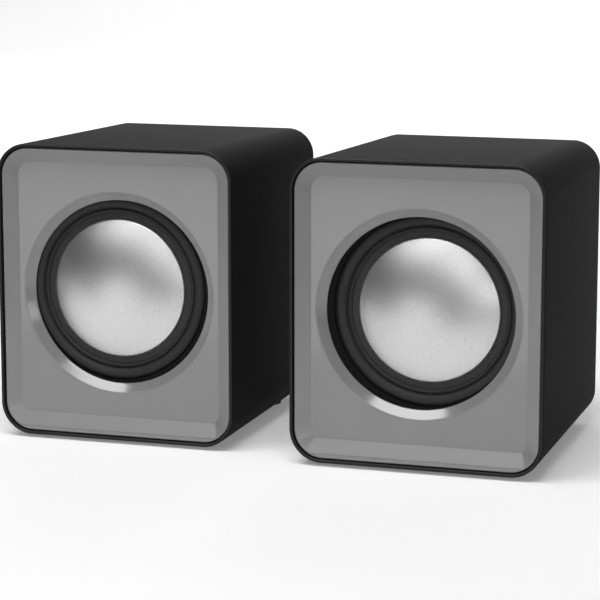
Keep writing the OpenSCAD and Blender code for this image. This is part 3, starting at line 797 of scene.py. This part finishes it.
def knob_grid(knob_r=7.25, bore_r=3.03, flutes=24, flute=0.25, groove=0.45, segments=480):
    """The rim's radius swings by the flute's height, as the cosine of flutes x angle. The pointer
    groove runs from 3 mm out, where a point lies within 0.5 mm of the upward radius."""
    front, back, bore_end = CABINET_D + 7.5, CABINET_D + 0.5, CABINET_D + 5.6
    profile = rounded([(0, front, 0), (6.6, front, 0.5), (knob_r, front - 0.9, 0.6),
                       (knob_r, back, 0.3), (bore_r, back, 0.2), (bore_r, bore_end, 0),
                       (0, bore_end, 0)], 8, closed=False)
    # The flat face needs rings of its own, for the groove to be cut into
    face = np.stack([np.linspace(0, 6.0, 40), np.full(40, front)], -1)
    profile = np.concatenate([face, profile[1:]])
    a = np.arange(segments) * 2 * np.pi / segments
    r, y = profile[:, 0, None] + 0 * a, profile[:, 1, None] + 0 * a
    on_rim = np.clip((r - 6.9) / 0.3, 0, 1) * np.clip((front - 0.6 - y) / 0.6, 0, 1)
    r = r + on_rim * flute * np.cos(flutes * a) * np.clip((y - back) / 0.5, 0, 1)
    x, z = r * np.cos(a), r * np.sin(a)
    across = np.clip((0.5 - np.abs(x)) / 0.15, 0, 1)
    along = np.clip((z - 3.0) / 0.2, 0, 1)
    y = y - groove * across * along * (y > front - 0.95)
    centre = np.array([middle(KNOB)[0], lip_of["right"], middle(KNOB)[1]]) / MM
    return np.stack([x, y, z], -1) + centre


knob = piece("knob_body", [shell(knob_grid(), wrap_rows=False, poles=True)])
finished(knob, KNOB, "volume_knob")

# %% [markdown]
# ## The table
# The pair stands on a white acrylic table that curves up into a backdrop. The table ends just in
# front of the pair: past its edge there is no light to reflect, so the sloping borders stay
# darker than the flat faces. The acrylic is lit from below, which keeps the shadows pale.

# %% Table and backdrop
TABLE_FRONT, TABLE_LEFT, TABLE_RIGHT = -0.205, -4.0, 1.6
COVE_AT, COVE_R, COVE_STRIPS = 1.6, 0.6, 9


def sweep():
    """A profile of floor, quarter circle and wall, in metres, drawn out along X."""
    bend = arc(COVE_AT, COVE_R, COVE_R, -90, 0, 16)
    line = np.concatenate([[[TABLE_FRONT, 0.0]], bend, [[COVE_AT + COVE_R, 3.0]]])
    x = np.linspace(TABLE_LEFT, TABLE_RIGHT, COVE_STRIPS)
    size = (len(line), COVE_STRIPS)
    points = np.stack([np.broadcast_to(x, size), np.broadcast_to(line[:, :1], size),
                       np.broadcast_to(line[:, 1:], size)], -1)
    mesh = bpy.data.meshes.new("sweep")
    mesh.from_pydata(points.reshape(-1, 3).tolist(), [], grid_faces(*size, False, False).tolist())
    mesh.polygons.foreach_set("use_smooth", np.ones(len(mesh.polygons), bool))
    obj = bpy.data.objects.new("sweep", mesh)
    bpy.context.scene.collection.objects.link(obj)
    return obj


acrylic, shader = new_material("white acrylic table, lit from below", "#f2f2f2", roughness=0.9,
                               emission_color=linear("#ffffff"))
place = add(acrylic, "ShaderNodeTexCoord")
along = add(acrylic, "ShaderNodeSeparateXYZ", {}, {"Vector": (place, "Object")})
# The lamp under the table ends to the right of the pair, so its glow fades out there
glow = add(acrylic, "ShaderNodeMapRange", {"interpolation_type": "SMOOTHSTEP"},
           {"Value": (along, "X"), "From Min": 0.1, "From Max": 0.3, "To Min": 0.2, "To Max": 0.0})
acrylic.node_tree.links.new(glow.outputs["Result"], shader.inputs["Emission Strength"])
floor = sweep()
floor.data.materials.append(acrylic)
print("table from y", TABLE_FRONT, "to", COVE_AT + COVE_R)

# %% [markdown]
# ## The light
# The room itself is black, and soft panels do all the lighting, as in a product studio. One hangs
# overhead, one stands to the left, two weaker ones stand to the right, and one lights the backs.
# A small panel under the camera is what the flat faces mirror. The last one lights the curved
# backdrop and points away from the speakers.

# %% Black room and soft panels
scene = bpy.context.scene
# The plain colour curve keeps the white table white
scene.view_settings.view_transform = "Standard"
world = bpy.data.worlds.new("studio")
world.use_nodes = True
world.node_tree.nodes["Background"].inputs["Strength"].default_value = 0.0
scene.world = world


def facing(at, direction):
    """A transform that stands at a point with its -Z axis along a direction and Y up."""
    turn = direction.to_track_quat("-Z", "Y").to_matrix().to_4x4()
    return Matrix.Translation(at) @ turn


def softbox(name, at, to, size, power):
    """A rectangular area light at one point, which faces the direction to another."""
    light = bpy.data.lights.new(name, "AREA")
    light.shape = "RECTANGLE"
    light.size, light.size_y = size
    light.energy = power
    obj = bpy.data.objects.new(name, light)
    obj.matrix_world = facing(at, Vector(to) - Vector(at))
    scene.collection.objects.link(obj)
    print(name, power, "W")


# name, position, target, size, power in watts
MIDDLE = (0, 0, 0.05)
for light in [("overhead", (-0.05, -0.27, 0.7), MIDDLE, (0.65, 0.32), 4.2),
              ("key", (-0.43, -1.0, 0.84), MIDDLE, (1.0, 0.27), 1.6),
              ("front right", (0.42, -1.27, 0.7), MIDDLE, (0.5, 0.5), 1.9),
              ("low right", (0.8, -1.0, 0.2), MIDDLE, (0.6, 0.3), 1.5),
              ("under front", (-0.4, -1.2, -0.166), MIDDLE, (0.68, 0.42), 1.35),
              ("rear", (-0.35, 1.1, 0.7), MIDDLE, (0.8, 0.4), 2.0),
              ("backdrop", (0, 0.8, 1.25), (0, 1.8, 0.5), (2.5, 0.6), 26)]:
    softbox(*light)

# %% [markdown]
# ## The camera
# It looks from a little to the right and from above, with a long lens, so that the sides hardly
# converge. Yaw is its turn to the left of +Y and pitch its tilt down, both in radians.

# %% Camera
camera = bpy.data.objects.new("camera", bpy.data.cameras.new("camera"))
camera.data.lens = 140.4
camera.data.sensor_width = 36
camera.data.clip_start = 0.05
camera_at = Vector((0.2231, -0.6824, 0.1656))
yaw, pitch = 0.318, 0.172
look = Vector((-np.sin(yaw) * np.cos(pitch), np.cos(yaw) * np.cos(pitch), -np.sin(pitch)))
camera.matrix_world = facing(camera_at, look)
scene.collection.objects.link(camera)
scene.camera = camera
print("camera", round((camera_at - Vector(MIDDLE)).length, 3), "m from the pair")

# %% [markdown]
# ## The parts that keep their shape
# Plates, rings, screws and boards are plain enough already, so they get only their finish.

# %% Finish the remaining parts
for name, obj in nodes.items():
    if not obj.hide_render:
        obj.data.materials.clear()
        obj.data.materials.append(FINISH[SLOTS[name]])
print(sum(not o.hide_render for o in nodes.values()), "parts keep their shape")
